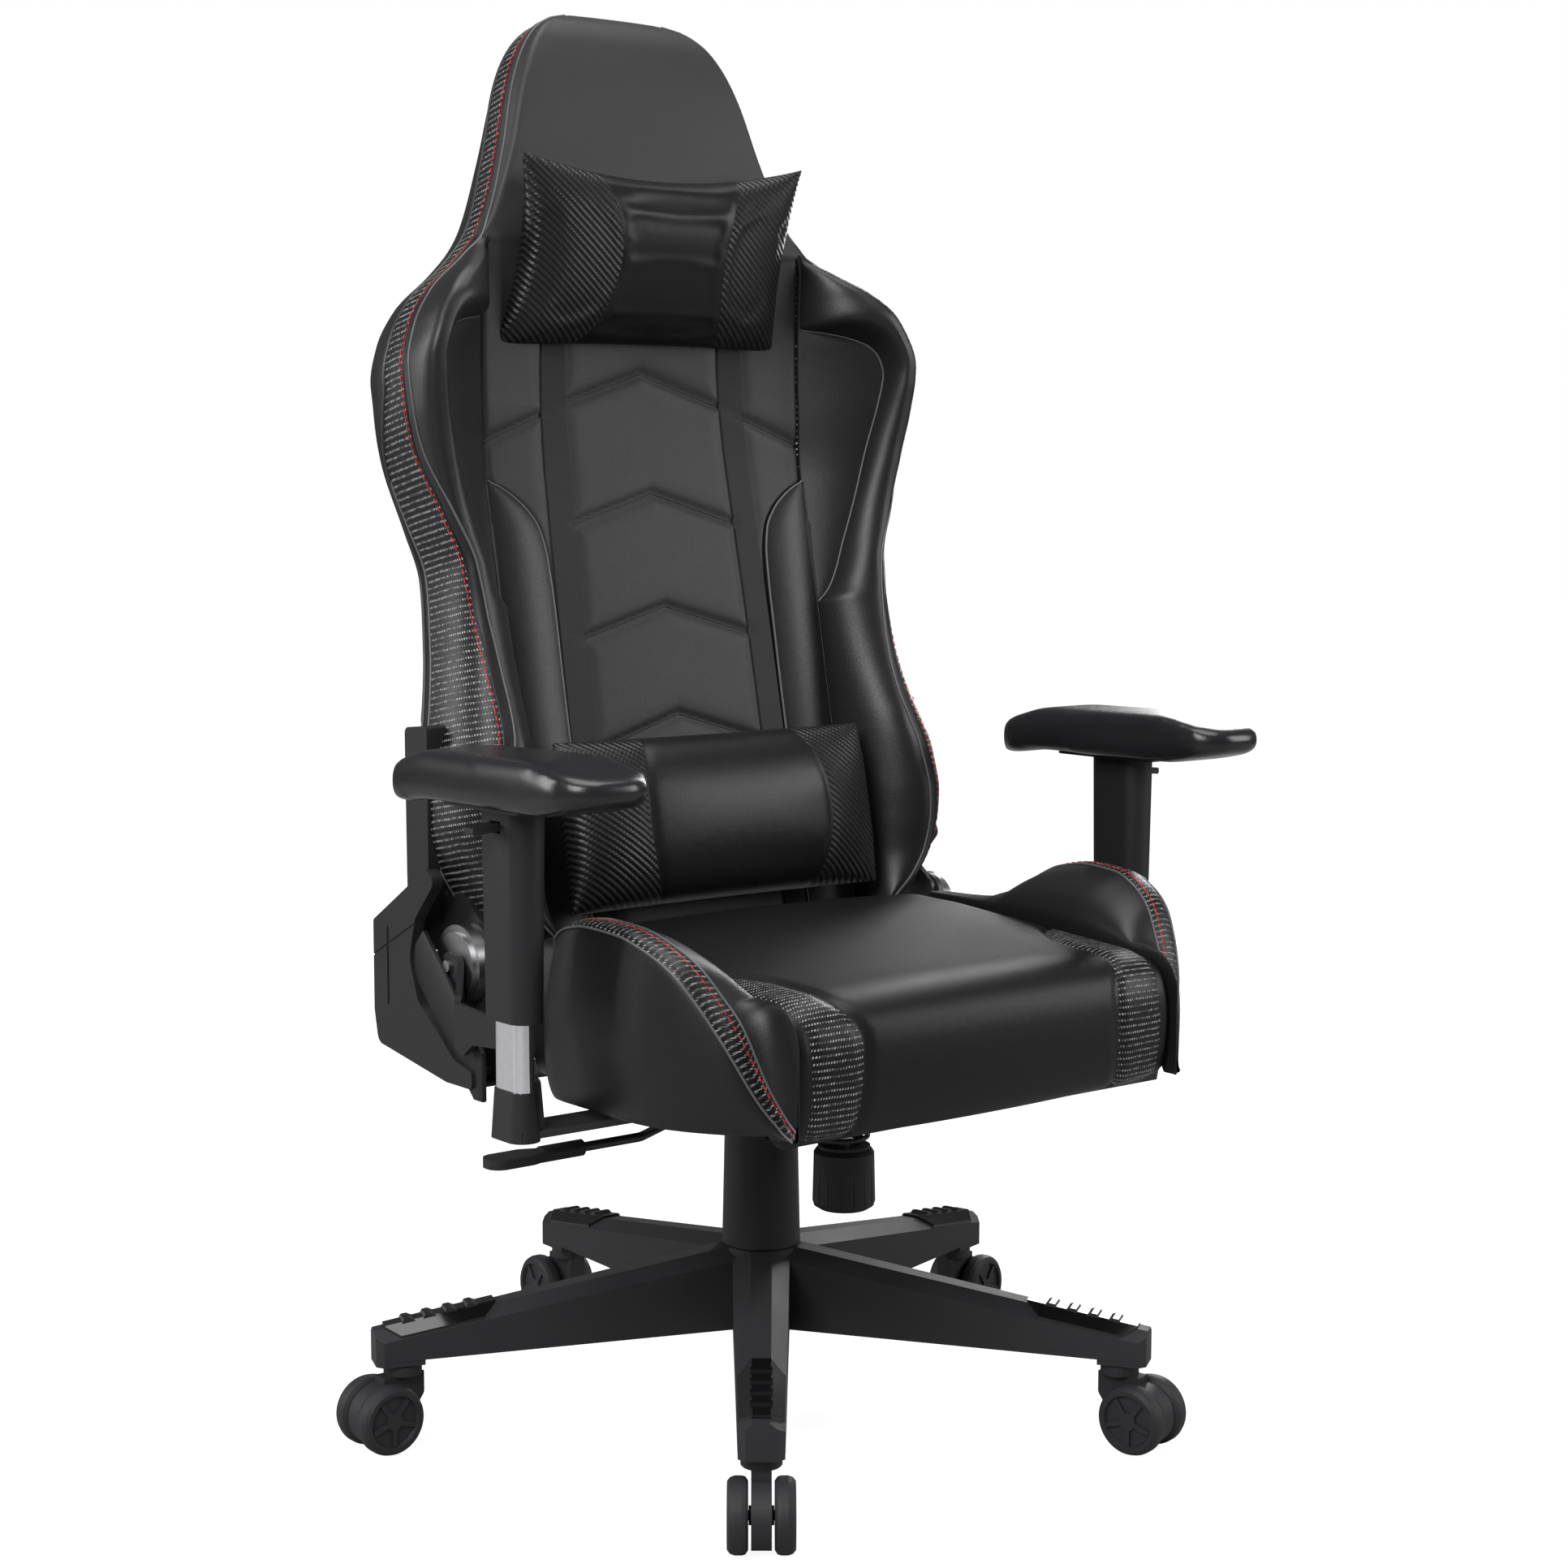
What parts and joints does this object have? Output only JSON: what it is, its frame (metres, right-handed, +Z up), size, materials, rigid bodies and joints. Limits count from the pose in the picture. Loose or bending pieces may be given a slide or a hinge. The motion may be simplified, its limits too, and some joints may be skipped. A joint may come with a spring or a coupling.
{
  "type": "gaming chair",
  "caption": "High-backed racing-style swivel seat with winged bolsters, reclining back, head and lumbar pillows, height-adjustable arm rests, gas lift and a caster base.",
  "frame": {"origin": "on the floor under the gas lift's axis", "axes": "+Z up, -Y the way the sitter faces, +X to the sitter's left"},
  "size_m": [0.748, 0.7025, 1.2428],
  "materials": {
    "black_leather": "fine grain, satin",
    "nylon": "fine texture",
    "gloss_black": "glossy",
    "cover_plastic": "fine texture",
    "pad_plastic": "soft matte",
    "chrome": "polished",
    "steel": "satin",
    "black_steel": "satin black",
    "spring_steel": "satin",
    "webbing": "woven",
    "bush_plastic": "plain"
  },
  "bodies": {
    "base": {"star_base": "nylon", "leg_pads": "gloss_black", "lift_column": "black_steel", "column_bush": "bush_plastic", "thrust_bearing": "steel", "cover_lower": "cover_plastic"},
    "rod": {"piston_rod": "chrome"},
    "cover_stage": {"cover_middle": "cover_plastic"},
    "lift": {"gas_cylinder": "black_steel", "cover_upper": "cover_plastic", "tilt_housing": "black_steel", "tilt_pin": "steel", "tilt_spring": "spring_steel"},
    "release": {"release_pin": "steel"},
    "trunnion": {"lever_bush": "bush_plastic"},
    "lever": {"height_lever": "black_steel", "lever_paddle": "cover_plastic"},
    "seat": {"seat_plate": "black_steel", "tension_bolt": "steel", "seat_frame": "black_steel", "seat_webbing": "webbing", "seat_cushion": "black_leather", "seat_bolster_left": "black_leather", "seat_bolster_right": "black_leather", "arm_brackets": "black_steel", "arm_posts": "chrome", "arm_boots": "cover_plastic", "seat_recliner_plates": "black_steel", "recliner_drums": "steel", "side_covers": "cover_plastic"},
    "knob": {"tension_knob": "cover_plastic"},
    "recliner_handle": {"sync_rod": "steel", "recline_lever": "cover_plastic"},
    "backrest": {"back_recliner_plates": "black_steel", "back_frame": "black_steel", "back_webbing": "webbing", "backrest_pad": "black_leather", "backrest_wing_left": "black_leather", "backrest_wing_right": "black_leather", "back_rear_cover": "black_leather", "pillow_straps": "webbing", "back_covers": "cover_plastic", "head_pillow": "black_leather"},
    "lumbar": {"lumbar_pillow": "black_leather"},
    "arm_left": {"arm_sleeve_left": "cover_plastic", "arm_pad_left": "pad_plastic"},
    "arm_right": {"arm_sleeve_right": "cover_plastic", "arm_pad_right": "pad_plastic"},
    "catch_left": {"arm_trigger_left": "cover_plastic"},
    "catch_right": {"arm_trigger_right": "cover_plastic"},
    "caster_1": {"caster_1_frame": "nylon"},
    "wheels_1": {"caster_1_wheels": "nylon"},
    "caster_2": {"caster_2_frame": "nylon"},
    "wheels_2": {"caster_2_wheels": "nylon"},
    "caster_3": {"caster_3_frame": "nylon"},
    "wheels_3": {"caster_3_wheels": "nylon"},
    "caster_4": {"caster_4_frame": "nylon"},
    "wheels_4": {"caster_4_wheels": "nylon"},
    "caster_5": {"caster_5_frame": "nylon"},
    "wheels_5": {"caster_5_wheels": "nylon"}
  },
  "joints": [
    {"name": "seat_swivel", "type": "hinge", "parent": "base", "child": "rod", "pos_m": [0, 0, 0.07], "axis": [0, 0, 1], "continuous": true},
    {"name": "seat_height", "type": "slide", "parent": "rod", "child": "lift", "axis": [0, 0, 1], "range_m": [0, 0.1]},
    {"name": "cover_stage_slide", "type": "slide", "parent": "rod", "child": "cover_stage", "axis": [0, 0, 1], "range_m": [0, 0.05]},
    {"name": "seat_tilt", "type": "hinge", "parent": "lift", "child": "seat", "pos_m": [0, -0.06, 0.303], "axis": [-1, 0, 0], "range_deg": [0, 15], "stiffness_Nm_per_rad": 150, "springref_deg": -20.05, "deforming": ["tilt_spring"]},
    {"name": "tension_turn", "type": "hinge", "parent": "seat", "child": "knob", "pos_m": [0, -0.115, 0.23], "axis": [0, 0, 1], "range_deg": [-540, 540]},
    {"name": "lever_lift", "type": "hinge", "parent": "lift", "child": "trunnion", "pos_m": [-0.04375, 0, 0.2995], "axis": [0, 1, 0], "range_deg": [0, 5.8], "stiffness_Nm_per_rad": 4, "springref_deg": -11.46},
    {"name": "lever_pull", "type": "slide", "parent": "trunnion", "child": "lever", "axis": [-1, 0, 0], "range_m": [0, 0.012]},
    {"name": "release_press", "type": "slide", "parent": "lift", "child": "release", "axis": [0, 0, -1], "range_m": [0, 0.0049]},
    {"name": "back_recline", "type": "hinge", "parent": "seat", "child": "backrest", "pos_m": [0, 0.075, 0.418], "axis": [-1, 0, 0], "range_deg": [0, 68]},
    {"name": "recline_release", "type": "hinge", "parent": "seat", "child": "recliner_handle", "pos_m": [-0.272, 0.075, 0.418], "axis": [-1, 0, 0], "range_deg": [0, 25], "stiffness_Nm_per_rad": 1.5, "springref_deg": -28.65},
    {"name": "lumbar_slide", "type": "slide", "parent": "backrest", "child": "lumbar", "axis": [0, 0.1994, 0.9799], "range_m": [0, 0.11]},
    {"name": "arm_height_left", "type": "slide", "parent": "seat", "child": "arm_left", "axis": [0, 0, 1], "range_m": [-0.045, 0.025]},
    {"name": "arm_catch_left", "type": "hinge", "parent": "arm_left", "child": "catch_left", "pos_m": [0.3465, -0.114, 0.56], "axis": [0, -1, 0], "range_deg": [0, 20], "stiffness_Nm_per_rad": 0.2, "springref_deg": -17.19},
    {"name": "arm_height_right", "type": "slide", "parent": "seat", "child": "arm_right", "axis": [0, 0, 1], "range_m": [-0.045, 0.025]},
    {"name": "arm_catch_right", "type": "hinge", "parent": "arm_right", "child": "catch_right", "pos_m": [-0.3465, -0.114, 0.56], "axis": [0, 1, 0], "range_deg": [0, 20], "stiffness_Nm_per_rad": 0.2, "springref_deg": -17.19},
    {"name": "caster_1_swivel", "type": "hinge", "parent": "base", "child": "caster_1", "pos_m": [-0.19947, -0.25532, 0.08], "axis": [0, 0, 1], "continuous": true},
    {"name": "caster_1_roll", "type": "hinge", "parent": "caster_1", "child": "wheels_1", "pos_m": [-0.21363, -0.27344, 0.03], "axis": [0.788, -0.6157, 0], "continuous": true},
    {"name": "caster_2_swivel", "type": "hinge", "parent": "base", "child": "caster_2", "pos_m": [-0.30446, 0.11081, 0.08], "axis": [0, 0, 1], "continuous": true},
    {"name": "caster_2_roll", "type": "hinge", "parent": "caster_2", "child": "wheels_2", "pos_m": [-0.32746, 0.11081, 0.03], "axis": [0, -1, 0], "continuous": true},
    {"name": "caster_3_swivel", "type": "hinge", "parent": "base", "child": "caster_3", "pos_m": [0.01131, 0.3238, 0.08], "axis": [0, 0, 1], "continuous": true},
    {"name": "caster_3_roll", "type": "hinge", "parent": "caster_3", "child": "wheels_3", "pos_m": [0.01211, 0.34679, 0.03], "axis": [-0.9994, 0.0349, 0], "continuous": true},
    {"name": "caster_4_swivel", "type": "hinge", "parent": "base", "child": "caster_4", "pos_m": [0.31145, 0.08931, 0.08], "axis": [0, 0, 1], "continuous": true},
    {"name": "caster_4_roll", "type": "hinge", "parent": "caster_4", "child": "wheels_4", "pos_m": [0.33356, 0.09565, 0.03], "axis": [-0.2756, 0.9613, 0], "continuous": true},
    {"name": "caster_5_swivel", "type": "hinge", "parent": "base", "child": "caster_5", "pos_m": [0.18118, -0.26861, 0.08], "axis": [0, 0, 1], "continuous": true},
    {"name": "caster_5_roll", "type": "hinge", "parent": "caster_5", "child": "wheels_5", "pos_m": [0.18674, -0.29092, 0.03], "axis": [0.9703, 0.2419, 0], "continuous": true}
  ],
  "couplings": [
    {"joint": "cover_stage_slide", "follows": "seat_height", "ratio": 0.5},
    {"joint": "release_press", "follows": "lever_lift", "m_per_rad": 0.048}
  ]
}
